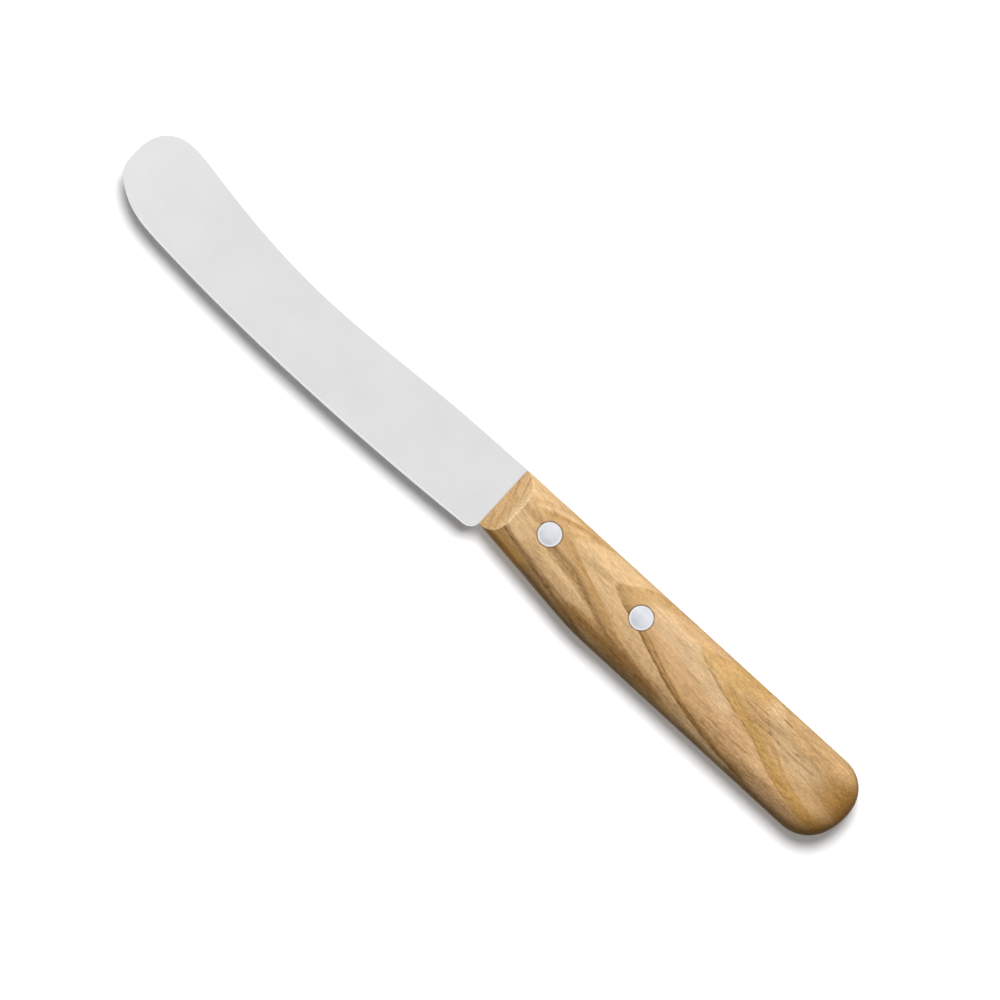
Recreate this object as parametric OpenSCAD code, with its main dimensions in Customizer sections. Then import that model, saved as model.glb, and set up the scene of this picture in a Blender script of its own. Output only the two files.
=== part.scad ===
// Butter knife: a thin blade with a humped round nose, whose half tang sits in the sawn slot
// of a one-piece wooden handle and is held there by two solid rivets, ground flush with the wood.
//
// The knife lies on its side. +X runs from the nose to the butt, +Y from the edge to the spine
// and +Z up. The origin is under the middle of the knife, on the surface that it lies on.
// The pieces are drawn from the corner where the handle's front meets its spine line, at the
// middle of the steel, and are then set down as a whole.

/* [Blade] */
// Length of the blade in front of the handle
blade_l = 117.3; // [100:0.1:140]
// Thickness of the steel at the handle and in the tang
blade_t = 1.2; // [0.9:0.1:1.6]
// Thickness of the blade at its nose
nose_t = 0.8; // [0.5:0.1:1.2]
// Thickness behind the sharpened bevel
edge_t = 0.34; // [0.25:0.01:0.45]
// Thickness of the sharpened edge itself
edge_land = 0.12; // [0.06:0.02:0.2]
// Width of the sharpened bevel
edge_bevel_w = 0.6; // [0.3:0.1:1.2]
// Fullness of the ground faces, where 1 is dead flat
face_bow = 1.25; // [1:0.05:1.6]
// Width of the eased corner along the spine
spine_ease = 0.2; // [0.1:0.05:0.3]
// Unground length of steel in front of the handle
ricasso_l = 1.2; // [0.8:0.1:3]
// Length over which the ground faces run out towards the handle
runout_l = 6; // [3:0.5:15]

/* [Blade outline] */
// Distance from the handle to where the spine starts to dip
shoulder_x = 21; // [12:0.1:30]
// Depth of the spine there below the handle's spine
shoulder_drop = 0.4; // [0.1:0.1:1]
// Distance from the handle to the lowest point of the spine
waist_x = 59.9; // [45:0.1:70]
// Depth of that point below the handle's spine
waist_drop = 2.1; // [1:0.1:4]
// Distance from the front of the nose back to the steepest point of the spine's rise
hump_back = 18; // [14:0.5:24]
// Slope of the spine there, in degrees
hump_slope = 10.5; // [5:0.5:16]
// Depth of that point below the top of the hump
hump_drop = 1.15; // [0.5:0.05:2]
// Distance from the front of the nose back to the top of the hump
nose_l = 9.2; // [7:0.1:12]
// Height of the hump above the handle's spine
nose_rise = 3.1; // [1:0.1:6]
// Fullness of the nose's upper corner, where 2 is round
nose_full = 2.25; // [2:0.05:3]
// Depth of the upper end of the blunt front below the handle's spine
tip_drop = 6.8; // [6:0.1:9]
// Height of the blunt front, down to where the edge's sweep would meet it
nose_front = 4.45; // [3:0.05:6]
// Radius of the nose's lower corner, where they meet
nose_corner_r = 6; // [3:0.1:7]
// Radius of the edge's sweep
sweep_r = 20; // [16:0.5:26]
// Slopes of the edge at the upper and lower ends of the sweep, in degrees
sweep_steep = 50; // [40:1:60]
sweep_slope = 13; // [8:0.5:20]
// Distance from the front of the nose back to the chin
chin_back = 17.9; // [14:0.1:24]
// Height of the edge at the chin above its lowest point
chin_rise = 1.9; // [1:0.1:3]
// Slope of the edge at the chin, in degrees
chin_slope = 4.9; // [2:0.1:8]
// Distance from the handle to the lowest point of the edge
belly_x = 49.7; // [35:0.1:65]
// Depth of the edge's lowest point below the heel
belly_drop = 1.6; // [0.5:0.1:3]
// Depth of the heel below the handle's front
heel_step = 2.25; // [1:0.05:5]
// Radius of the heel's corner
heel_r = 2.7; // [1:0.1:4]

/* [Handle] */
// Length of the handle
handle_l = 108.9; // [95:0.1:125]
// Thickness of the handle
handle_t = 12; // [10:0.5:15]
// Height of the handle at its front
front_h = 16.9; // [15:0.1:19]
// Height of the handle at the knee of its belly
knee_h = 20.9; // [19:0.1:23]
// Height of the handle at its butt
handle_h = 21.2; // [19:0.1:24]
// Distance from the front to the knee
knee_x = 32.3; // [25:0.1:42]
// Radius of the knee
knee_r = 60; // [20:1:100]
// Extra radius of the butt's end over a plain half round
butt_flatten = 5; // [3:0.1:8]
// Height of the butt's rearmost point above the middle of the handle
butt_lift = 1; // [0:0.1:2]
// Radius of the butt's corner on the spine side
butt_top_r = 8.4; // [7:0.1:9]
// Radius of the butt's corner on the belly side
butt_low_r = 9.4; // [7:0.1:9.8]
// Width of the rolled edges, seen from the side
round_w = 6; // [4:0.1:6.5]
// Depth of the rolled edges, down from the flat
round_d = 5; // [3:0.1:5.2]
// Length of the bevel at the front
front_bevel_l = 4.8; // [2:0.1:8]
// Wood left over the steel at the front of the bevel
front_lip = 0.6; // [0.3:0.1:1.5]

/* [Rivets and tang] */
// Distance from the handle's front to the front rivet
rivet_x = 13.8; // [10:0.1:18]
// Distance between the rivets
rivet_pitch = 28.7; // [22:0.1:36]
// Depth of the rivets below the spine
rivet_drop = 7.6; // [6:0.1:9]
// Diameter of a rivet's shank
shank_d = 5; // [4:0.1:5.5]
// Diameter of a rivet's flared end at the wood
head_d = 5.8; // [5.6:0.1:7]
// Depth of the flare
head_depth = 0.8; // [0.4:0.1:1.5]
// Length of the tang behind the rear rivet
tang_behind = 12; // [8:0.5:18]
// Radius of the saw that cuts the slot
saw_r = 100; // [75:1:150]

/* [Fits] */
// Gap between the tang and each side of the slot
slot_gap = 0.05; // [0.02:0.01:0.15]
// Gap between the tang's end and the bottom of the slot
slot_end_gap = 0.5; // [0.2:0.1:1]
// Gap all round a rivet
rivet_gap = 0.02; // [0.01:0.01:0.05]

/* [Hidden] */
$fn = 96;

// Tools pass through what they cut by this much
over = 1;
// Step of the points along the blade, and their turn round the nose and the heel, in degrees
blade_step = 2.5;
nose_turn = 6;
heel_turn = 15;
// Wood left on the narrow face beside the slot
slot_lip = 0.1;
// Turn between the points round the handle's corners and over its rolled edges, in degrees
corner_turn = 6;
roll_turn = 7.5;
// Shares of the way from the spine to the edge at which the ground faces are drawn
face_shares = [0, 0.2, 0.4, 0.6, 0.8, 1];
// Shares of the nose's thickness behind and at its lower rim
nose_root_share = 0.9;
nose_rim_share = 0.6;
// Shares of the spine's thickness on its eased top
spine_top_share = 0.6;
// Largest share of a narrow section that the ease or the bevel takes up
narrow_share = 1 / 6;

heel_depth = front_h + heel_step;
belly_depth = heel_depth + belly_drop;
chin_x = blade_l - chin_back;

// Round the nose: the hump's full corner, the blunt front, the lower corner and the edge's sweep
hump_x = blade_l - nose_l;
sweep_c = [blade_l - sweep_r * sin(sweep_steep), sweep_r * cos(sweep_steep) - tip_drop - nose_front];
corner_x = blade_l - nose_corner_r;
corner_c = [corner_x, sweep_c[1] - arc_height(sweep_r - nose_corner_r, corner_x - sweep_c[0])];
sweep_end = sweep_c[0] + (corner_x - sweep_c[0]) * sweep_r / (sweep_r - nose_corner_r);
sweep_start = sweep_c[0] + sweep_r * sin(sweep_slope);

// Each knot is a distance from the handle, a height and a slope
spine_knots = [
    [0, 0, -shoulder_drop / shoulder_x],
    [shoulder_x, -shoulder_drop, -waist_drop / waist_x],
    [waist_x, -waist_drop, 0],
    [blade_l - hump_back, nose_rise - hump_drop, tan(hump_slope)],
    [hump_x, nose_rise, 0]
];
edge_knots = [
    [0, -heel_depth, -2 * belly_drop / belly_x],
    [belly_x, -belly_depth, 0],
    [chin_x, chin_rise - belly_depth, tan(chin_slope)],
    [sweep_start, sweep_c[1] - sweep_r * cos(sweep_slope), tan(sweep_slope)]
];

// Slopes of the handle's belly in front of the knee and behind it, and their inward normals
taper_a = atan((knee_h - front_h) / knee_x);
rear_a = atan((handle_h - knee_h) / (handle_l - knee_x));
taper_n = [sin(taper_a), cos(taper_a)];
rear_n = [sin(rear_a), cos(rear_a)];
knee = [knee_x, -knee_h];
knee_c = knee + (taper_n + rear_n) * knee_r / (1 + taper_n * rear_n);

// The butt's corners lie inside the circle of its end and touch it
butt_r = handle_h / 2 + butt_flatten;
butt_c = [handle_l - butt_r, butt_lift - handle_h / 2];
top_a = acos((butt_top_r + butt_c[1]) / (butt_r - butt_top_r)) - 90;
low_a = 90 - rear_a - acos((butt_low_r - rear_n * (butt_c - knee)) / (butt_r - butt_low_r));
butt_top_c = butt_c + (butt_r - butt_top_r) * [cos(top_a), sin(top_a)];
butt_low_c = butt_c + (butt_r - butt_low_r) * [cos(low_a), sin(low_a)];

// A rolled edge is no wider than the corners that it goes round, and leaves a flat between the edges
roll_w = min(round_w, butt_top_r - over, butt_low_r - over, (front_h - over) / 2);
half_t = handle_t / 2;

tang_end = rivet_x + rivet_pitch + tang_behind;
slot_end = tang_end + slot_end_gap;
slot_t = blade_t + 2 * slot_gap;
// It stays clear of the slot too
roll_d = min(round_d, (handle_t - slot_t) / 2 - slot_lip);

// Middle of the knife's outline, which stands over the origin
handle_depth = max(butt_low_r - butt_low_c[1], knee_r - knee_c[1]);
middle = [handle_l - blade_l, nose_rise - max(handle_depth, belly_depth)] / 2;

steel = [0.82, 0.82, 0.82];
olive_wood = [0.82, 0.67, 0.47];
light_metal = [0.88, 0.89, 0.92];

function smooth(low, high, x) =
    let (t = min(1, max(0, (x - low) / (high - low))))
    t * t * (3 - 2 * t);

function blend(from, to, share) = from + (to - from) * share;

function hermite(p, q, x) =
    let (w = q[0] - p[0], t = (x - p[0]) / w)
    p[1] * (2 * t - 3) * t * t + p[1] + q[1] * (3 - 2 * t) * t * t
    + w * t * (1 - t) * (p[2] * (1 - t) - q[2] * t);

function along(knots, x) =
    let (last = len(knots) - 2)
    let (i = [for (k = [0 : last]) if (k == last || x < knots[k + 1][0]) k][0])
    hermite(knots[i], knots[i + 1], x);

function arc_height(radius, x) = sqrt(max(0, radius * radius - x * x));

// Share of the nose's height that is left at a share of its length
function full_height(share) = pow(max(0, 1 - pow(share, nose_full)), 1 / nose_full);

// Heights of the spine and the edge at a distance in front of the handle
function spine_y(x) =
    x < hump_x ? along(spine_knots, x)
    : (nose_rise + tip_drop) * full_height((x - hump_x) / nose_l) - tip_drop;

function edge_y(x) =
    x > sweep_end ? corner_c[1] - arc_height(nose_corner_r, x - corner_x)
    : x > sweep_start ? sweep_c[1] - arc_height(sweep_r, x - sweep_c[0])
    : along(edge_knots, x) + heel_r - arc_height(heel_r, max(0, heel_r - x));

// Points of one side of the blade's section, from the spine to the edge, as height and half thickness
function half_section(x) =
    let (
        top = spine_y(x),
        low = edge_y(x),
        ease = min(spine_ease, (top - low) * narrow_share),
        bevel = min(edge_bevel_w, (top - low) * narrow_share),
        ground = smooth(ricasso_l, ricasso_l + runout_l, x),
        nose = smooth(chin_x, blade_l, x),
        spine = blend(blade_t, nose_t, max(0, x - ricasso_l) / (blade_l - ricasso_l)) / 2,
        root = blend(edge_t, nose_t * nose_root_share, nose) / 2,
        rim = blend(edge_land, nose_t * nose_rim_share, nose) / 2
    )
    concat(
        [[top, spine * spine_top_share]],
        [for (s = face_shares) [
            blend(top - ease, low + bevel, s),
            blend(spine, blend(spine, root, pow(s, face_bow)), ground)
        ]],
        [[low, blend(spine * spine_top_share, rim, ground)]]
    );

function section(x) =
    let (side = half_section(x), last = len(side) - 1)
    concat(
        [for (p = side) [-x, p[0], p[1]]],
        [for (i = [last : -1 : 0]) [-x, side[i][0], -side[i][1]]]
    );

// Distances from the handle of the blade's sections, from the nose back
nose_x = min(hump_x, sweep_start);
stations = concat(
    [for (a = [1 : nose_turn : 90]) blade_l - (blade_l - nose_x) * (1 - cos(a))],
    [for (x = [nose_x : -blade_step : heel_r + blade_step / 2]) x],
    [for (a = [90 : -heel_turn : 0]) heel_r * (1 - cos(a))]
);

// Arc of the handle's outline, drawn in by the given inset
function arc(centre, radius, from, to, inset, ends = 0) =
    let (n = max(1, ceil((to - from) / corner_turn)))
    [for (i = [ends : n - ends])
        let (a = from + (to - from) * i / n)
        centre + (radius - inset) * [cos(a), sin(a)]];

// Outline of the handle, with its belly, butt and spine drawn in by the given inset
function handle_outline(inset) =
    concat(
        [[0, inset / cos(taper_a) - front_h]],
        arc(knee_c, knee_r, -90 - taper_a, -90 - rear_a, inset),
        arc(butt_low_c, butt_low_r, -90 - rear_a, low_a, inset),
        arc(butt_c, butt_r, low_a, top_a, inset, 1),
        arc(butt_top_c, butt_top_r, top_a, 90, inset),
        [[0, -inset]]
    );

// Outline on the rolled edge of the lower side, -1, or the upper, 1, at a turn of 0 to 90 towards the flat
function roll_ring(side, turn) =
    let (z = side * (half_t - roll_d * (1 - sin(turn))))
    [for (p = handle_outline(roll_w * (1 - cos(turn)))) [p[0], p[1], z]];

// Solid skinned over rings of as many points each, which turn left seen from the last one
module loft(rings) {
    n = len(rings[0]);
    last = len(rings) - 1;
    points = [for (ring = rings) each ring];
    walls = [for (i = [0 : last - 1], j = [0 : n - 1])
        let (a = i * n + j, b = i * n + (j + 1) % n)
        each [[a, a + n, b + n], [a, b + n, b]]];
    first_cap = [for (j = [0 : n - 1]) j];
    last_cap = [for (j = [n - 1 : -1 : 0]) last * n + j];
    polyhedron(points, concat([first_cap, last_cap], walls));
}

// Blank of the handle, with its rolled edges and its front still square
module handle_blank()
    loft(concat(
        [for (turn = [90 : -roll_turn : 0]) roll_ring(-1, turn)],
        [for (turn = [0 : roll_turn : 90]) roll_ring(1, turn)]
    ));

// Round piece on a rivet's axis, flared to the wood on both sides
module rivet_form(gap) {
    reach = half_t + over;
    waist = half_t - head_depth;
    shank = shank_d / 2 + gap;
    flare = (head_d - shank_d) / 2 / head_depth;
    head = shank + flare * (reach - waist);
    rotate_extrude()
        polygon([[0, -reach], [head, -reach], [shank, -waist], [shank, waist], [head, reach], [0, reach]]);
}

module at_rivet(i) translate([rivet_x + i * rivet_pitch, -rivet_drop, 0]) children();

module saw_disc(end, thick)
    translate([end - saw_r, -handle_h / 2, 0]) cylinder(r = saw_r, h = thick, center = true);

// Half tang, flush with the wood along the spine and the belly
module tang()
    intersection() {
        linear_extrude(blade_t, center = true) polygon(handle_outline(0));
        saw_disc(tang_end, 2 * blade_t);
    }

// Steel that carries the tang on into the blade
module tang_root() {
    root_h = front_h / 2;
    root_l = ricasso_l;
    translate([-root_l / 2, -front_h / 4 - root_h, -blade_t / 4]) cube([root_l, root_h, blade_t / 2]);
}

// Wedges that bevel the handle's front on both sides, down to the lip
module front_bevels() {
    lip = blade_t / 2 + front_lip;
    rise = (half_t - lip) / front_bevel_l;
    near = [-over, lip - rise * over];
    far = [front_bevel_l + over, half_t + rise * over];
    for (side = [0, 1]) mirror([0, 0, side])
        rotate([90, 0, 0])
            translate([0, 0, -over])
                linear_extrude(handle_h + 2 * over) polygon([near, far, [near[0], far[1]]]);
}

// Sets a piece down in the knife's own frame
module set_down() translate([-middle[0], -middle[1], half_t]) children();

module blade()
    color(steel) set_down() difference() {
        union() {
            loft([for (x = stations) section(x)]);
            tang();
            tang_root();
        }
        for (i = [0, 1]) at_rivet(i) cylinder(d = shank_d + 2 * rivet_gap, h = 2 * blade_t, center = true);
    }

module handle()
    color(olive_wood) set_down() difference() {
        handle_blank();
        front_bevels();
        saw_disc(slot_end, slot_t);
        for (i = [0, 1]) at_rivet(i) rivet_form(rivet_gap);
    }

// Rivet with its ends ground to the surface of the wood
module rivet(i)
    color(light_metal) set_down() intersection() {
        at_rivet(i) rivet_form(0);
        handle_blank();
    }

blade();
handle();
rivet(0);  // front_rivet
rivet(1);  // rear_rivet
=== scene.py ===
import math
from typing import NamedTuple

import bmesh
import bpy
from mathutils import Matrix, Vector


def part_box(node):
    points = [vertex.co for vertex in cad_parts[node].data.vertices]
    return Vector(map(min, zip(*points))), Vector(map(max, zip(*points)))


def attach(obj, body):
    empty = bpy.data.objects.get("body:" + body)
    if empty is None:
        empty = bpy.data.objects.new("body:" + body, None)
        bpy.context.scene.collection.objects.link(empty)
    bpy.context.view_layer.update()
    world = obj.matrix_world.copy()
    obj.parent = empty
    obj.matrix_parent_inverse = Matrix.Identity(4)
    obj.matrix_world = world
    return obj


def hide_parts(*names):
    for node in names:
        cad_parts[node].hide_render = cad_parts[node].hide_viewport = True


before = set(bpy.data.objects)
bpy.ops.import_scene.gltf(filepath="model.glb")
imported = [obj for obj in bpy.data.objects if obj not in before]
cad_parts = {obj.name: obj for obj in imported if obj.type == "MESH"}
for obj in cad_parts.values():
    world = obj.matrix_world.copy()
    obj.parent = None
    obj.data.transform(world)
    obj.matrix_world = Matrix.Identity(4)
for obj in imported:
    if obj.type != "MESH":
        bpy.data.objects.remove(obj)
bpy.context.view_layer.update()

# Sizes in millimetres, as in the solids. The pieces are drawn from the corner where the handle's front
# meets its spine line, at the middle of the steel: +X to the butt, +Y past the spine, +Z up.
MM = 0.001

# Blade
BLADE_L = 117.3
BLADE_T = 1.2
NOSE_T = 0.8
EDGE_T = 0.34
EDGE_LAND = 0.12
EDGE_BEVEL_W = 0.6
FACE_BOW = 1.25
SPINE_EASE = 0.2
TANG_EASE = 0.05
RICASSO_L = 1.2
RUNOUT_L = 6
SHOULDER_X = 21
SHOULDER_DROP = 0.4
WAIST_X = 59.9
WAIST_DROP = 2.1
HUMP_BACK = 18
HUMP_SLOPE = math.radians(10.5)
HUMP_DROP = 1.15
NOSE_L = 9.2
NOSE_RISE = 3.1
NOSE_FULL = 2.25
TIP_DROP = 6.8
NOSE_FRONT = 4.45
NOSE_CORNER_R = 6
SWEEP_R = 20
SWEEP_STEEP = math.radians(50)
SWEEP_SLOPE = math.radians(13)
CHIN_BACK = 17.9
CHIN_RISE = 1.9
CHIN_SLOPE = math.radians(4.9)
BELLY_X = 49.7
BELLY_DROP = 1.6
HEEL_STEP = 2.25
HEEL_R = 2.7
NOSE_ROOT_SHARE = 0.9
NOSE_RIM_SHARE = 0.6
SPINE_TOP_SHARE = 0.6

# Handle
HANDLE_L = 108.9
HANDLE_T = 12
FRONT_H = 16.9
KNEE_H = 20.9
HANDLE_H = 21.2
KNEE_X = 32.3
KNEE_R = 60
BUTT_R = HANDLE_H / 2 + 5
BUTT_LIFT = 1
BUTT_TOP_R = 8.4
BUTT_LOW_R = 9.4
ROLL_W = 6
ROLL_D = 5
FRONT_BEVEL_L = 4.8
FRONT_LIP = 0.6
FRONT_EASE = 0.3
FRONT_BORDER_R = 1.2

# Rivets, tang and slot
RIVET_X = 13.8
RIVET_PITCH = 28.7
RIVET_DROP = 7.6
SHANK_D = 5
HEAD_D = 5.8
HEAD_DEPTH = 0.8
HEAD_CROWN = 0.05
HEAD_EASE = 0.12
TANG_END = RIVET_X + RIVET_PITCH + 12
SAW_R = 100
SLOT_GAP = 0.05
SLOT_END_GAP = 0.5
RIVET_GAP = 0.02
OVER = 1

# Fineness of the meshes: steps in millimetres, turns in degrees
BLADE_STEP = 1.0
NOSE_TURN = 2.5
HEEL_TURN = 7.5
FACE_STEPS = 10
RIM_STEPS = 4
WALL_STEP = 2.5
CORNER_TURN = 3
EASE_TURN = 22.5
ROLL_TURN = 3
SIDES = 96

# Worked out from these
HALF_T = HANDLE_T / 2
LIP = BLADE_T / 2 + FRONT_LIP
NOSE_H = NOSE_RISE + TIP_DROP
HEEL_DEPTH = FRONT_H + HEEL_STEP
BELLY_DEPTH = HEEL_DEPTH + BELLY_DROP
CHIN_X = BLADE_L - CHIN_BACK
TAPER = math.atan((KNEE_H - FRONT_H) / KNEE_X)
REAR = math.atan((HANDLE_H - KNEE_H) / (HANDLE_L - KNEE_X))
RIVETS = [(RIVET_X, -RIVET_DROP), (RIVET_X + RIVET_PITCH, -RIVET_DROP)]

# Round the nose: the hump's full corner, the blunt front, the lower corner and the edge's sweep
HUMP_X = BLADE_L - NOSE_L
SWEEP_C = (
    BLADE_L - SWEEP_R * math.sin(SWEEP_STEEP),
    SWEEP_R * math.cos(SWEEP_STEEP) - TIP_DROP - NOSE_FRONT,
)
CORNER_RUN = BLADE_L - NOSE_CORNER_R - SWEEP_C[0]
CORNER_A = -math.degrees(math.acos(CORNER_RUN / (SWEEP_R - NOSE_CORNER_R)))
SWEEP_END = SWEEP_C[0] + SWEEP_R * math.cos(math.radians(CORNER_A))
SWEEP_START = SWEEP_C[0] + SWEEP_R * math.sin(SWEEP_SLOPE)

# Knots of the blade's outline: distance in front of the handle, height, slope
SPINE_KNOTS = [
    (0, 0, -SHOULDER_DROP / SHOULDER_X),
    (SHOULDER_X, -SHOULDER_DROP, -WAIST_DROP / WAIST_X),
    (WAIST_X, -WAIST_DROP, 0),
    (BLADE_L - HUMP_BACK, NOSE_RISE - HUMP_DROP, math.tan(HUMP_SLOPE)),
    (HUMP_X, NOSE_RISE, 0),
]
EDGE_KNOTS = [
    (0, -HEEL_DEPTH, -2 * BELLY_DROP / BELLY_X),
    (BELLY_X, -BELLY_DEPTH, 0),
    (CHIN_X, CHIN_RISE - BELLY_DEPTH, math.tan(CHIN_SLOPE)),
    (SWEEP_START, SWEEP_C[1] - SWEEP_R * math.cos(SWEEP_SLOPE), math.tan(SWEEP_SLOPE)),
]

# Drawing corner in the row frame, in metres
handle_low, handle_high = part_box("handle")
CORNER = Vector((handle_low.x, handle_high.y, (handle_low.z + handle_high.z) / 2))


def smooth(low, high, x):
    t = min(1, max(0, (x - low) / (high - low)))
    return t * t * (3 - 2 * t)


def mix(start, end, share):
    return start + (end - start) * share


def turned(centre, radius, degrees):
    angle = math.radians(degrees)
    return centre[0] + radius * math.cos(angle), centre[1] + radius * math.sin(angle)


def spaced(start, end, step):
    """Even values from start to end, both included, no further apart than step."""
    count = max(1, math.ceil(abs(end - start) / step))
    return [mix(start, end, i / count) for i in range(count + 1)]


# Meshes

def make_mesh(name, points, faces):
    """A new mesh object from points in drawing millimetres."""
    mesh = bpy.data.meshes.new(name)
    mesh.from_pydata([CORNER + Vector(p) * MM for p in points], [], faces)
    made = bpy.data.objects.new(name, mesh)
    bpy.context.scene.collection.objects.link(made)
    return made


def loft(rings):
    """Points and faces of a closed skin over rings of as many points each."""
    count = len(rings[0])
    points = [p for ring in rings for p in ring]
    faces = [tuple(range(count))[::-1]]
    for i in range(len(rings) - 1):
        for j in range(count):
            a = i * count + j
            b = i * count + (j + 1) % count
            faces.append((a, b, b + count, a + count))
    last = (len(rings) - 1) * count
    faces.append(tuple(range(last, last + count)))
    return points, faces


def edit(obj, change):
    """Runs change on the object's mesh and writes the result back."""
    work = bmesh.new()
    work.from_mesh(obj.data)
    change(work)
    bmesh.ops.recalc_face_normals(work, faces=work.faces)
    work.to_mesh(obj.data)
    work.free()


def merge(work):
    bmesh.ops.remove_doubles(work, verts=work.verts, dist=1e-6)
    bmesh.ops.dissolve_degenerate(work, edges=work.edges, dist=1e-6)


def cut(obj, cutters):
    """Takes the cutters away from the object, and deletes them."""
    for cutter in cutters:
        cutter.hide_render = True
        tool = obj.modifiers.new("cut", "BOOLEAN")
        tool.operation = "DIFFERENCE"
        tool.solver = "EXACT"
        tool.object = cutter
    view = bpy.context.evaluated_depsgraph_get()
    result = bpy.data.meshes.new_from_object(obj.evaluated_get(view))
    obj.modifiers.clear()
    obj.data = result
    for cutter in cutters:
        bpy.data.objects.remove(cutter)


def shade(obj, crease):
    """Smooth shading, with edges sharper than the crease kept."""
    obj.data.shade_smooth()
    obj.data.set_sharp_from_angle(angle=math.radians(crease))
    weigh = obj.modifiers.new("normals", "WEIGHTED_NORMAL")
    weigh.keep_sharp = True


def dress(obj, node, slot, *materials):
    """Stands the piece in for its CAD node and gives it its materials."""
    for material in materials:
        obj.data.materials.append(material)
    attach(obj, "root")
    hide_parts(node)


# Blade

def hermite(p, q, x):
    width = q[0] - p[0]
    t = (x - p[0]) / width
    rise = p[1] * (2 * t - 3) * t * t + p[1] + q[1] * (3 - 2 * t) * t * t
    return rise + width * t * (1 - t) * (p[2] * (1 - t) - q[2] * t)


def along(knots, x):
    for p, q in zip(knots, knots[1:]):
        if x < q[0]:
            break
    return hermite(p, q, x)


def arc_height(radius, x):
    return math.sqrt(max(0, radius * radius - x * x))


def knee_arc():
    """Centre of the knee's arc and the distances where it starts and ends."""
    bend = (TAPER - REAR) / 2
    tilt = (TAPER + REAR) / 2
    gap = KNEE_R / math.cos(bend)
    centre = (KNEE_X + gap * math.sin(tilt), gap * math.cos(tilt) - KNEE_H)
    return centre, centre[0] - KNEE_R * math.sin(TAPER), centre[0] - KNEE_R * math.sin(REAR)


KNEE_C, KNEE_START, KNEE_END = knee_arc()
NOSE_CORNER_C = turned(SWEEP_C, SWEEP_R - NOSE_CORNER_R, CORNER_A)


def belly_y(x):
    """Height of the handle's belly at a distance behind its front."""
    if x < KNEE_START:
        return -FRONT_H - x * math.tan(TAPER)
    if x < KNEE_END:
        return KNEE_C[1] - arc_height(KNEE_R, x - KNEE_C[0])
    return -KNEE_H - (x - KNEE_X) * math.tan(REAR)


def spine_y(x):
    """Height of the steel's spine at a distance in front of the handle, or behind it, in the tang."""
    if x <= 0:
        return 0
    if x < HUMP_X:
        return along(SPINE_KNOTS, x)
    return NOSE_H * max(0, 1 - ((x - HUMP_X) / NOSE_L) ** NOSE_FULL) ** (1 / NOSE_FULL) - TIP_DROP


def edge_y(x):
    if x < 0:
        return belly_y(-x)
    if x > SWEEP_END:
        return NOSE_CORNER_C[1] - arc_height(NOSE_CORNER_R, x - NOSE_CORNER_C[0])
    if x > SWEEP_START:
        return SWEEP_C[1] - arc_height(SWEEP_R, x - SWEEP_C[0])
    return along(EDGE_KNOTS, x) + HEEL_R - arc_height(HEEL_R, max(0, HEEL_R - x))


def ground(x):
    """Share of the grinding that has set in at a distance in front of the handle."""
    return smooth(RICASSO_L, RICASSO_L + RUNOUT_L, x)


def spine_half(x):
    """Half the steel's thickness along the spine."""
    return mix(BLADE_T, NOSE_T, max(0, x - RICASSO_L) / (BLADE_L - RICASSO_L)) / 2


def face_half(x, y):
    """Half the steel's thickness at a point of its ground face."""
    top = spine_y(x) - SPINE_EASE
    low = edge_y(x) + EDGE_BEVEL_W
    share = min(1, max(0, (top - y) / max(0.01, top - low)))
    root = mix(EDGE_T, NOSE_T * NOSE_ROOT_SHARE, smooth(CHIN_X, BLADE_L, x)) / 2
    return mix(spine_half(x), mix(spine_half(x), root, share ** FACE_BOW), ground(x))


def saw_sag(y):
    """How far the sawn end of the slot or the tang draws back at a height."""
    return SAW_R - arc_height(SAW_R, y + HANDLE_H / 2)


def nose_outline():
    """Points round the nose, from the spine to the edge, in front of where the edge's sweep starts."""
    points = [(x, spine_y(x)) for x in spaced(SWEEP_START, HUMP_X, BLADE_STEP)[1:-1]]
    for turn in spaced(0, 90, NOSE_TURN):
        angle = math.radians(turn)
        across = abs(math.sin(angle)) ** (2 / NOSE_FULL)
        down = abs(math.cos(angle)) ** (2 / NOSE_FULL)
        points.append((HUMP_X + NOSE_L * across, NOSE_H * down - TIP_DROP))
    points += [(BLADE_L, y) for y in spaced(-TIP_DROP, NOSE_CORNER_C[1], BLADE_STEP)[1:-1]]
    points += [turned(NOSE_CORNER_C, NOSE_CORNER_R, a) for a in spaced(0, CORNER_A, NOSE_TURN)]
    sweep_end = math.degrees(SWEEP_SLOPE) - 90
    return points + [turned(SWEEP_C, SWEEP_R, a) for a in spaced(CORNER_A, sweep_end, NOSE_TURN)][1:-1]


def rim_rays():
    """Rays from the steel's rim to its middle: along the spine, round the nose and back along the edge.
    Each is (rim point, middle point, share of the way from the spine to the edge)."""
    body = spaced(-TANG_END, 0, BLADE_STEP)
    body += [HEEL_R * (1 - math.cos(math.radians(a))) for a in spaced(0, 90, HEEL_TURN)][1:]
    body += spaced(HEEL_R, SWEEP_START, BLADE_STEP)[1:]
    middle = [(x, (spine_y(x) + edge_y(x)) / 2) for x in body]
    spine = [((x, spine_y(x)), m, 0) for x, m in zip(body, middle)]
    edge = [((x, edge_y(x)), m, 1) for x, m in zip(body, middle)]
    nose = nose_outline()
    fan = [(p, middle[-1], (i + 1) / (len(nose) + 1)) for i, p in enumerate(nose)]
    return spine + fan + edge[::-1]


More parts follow.
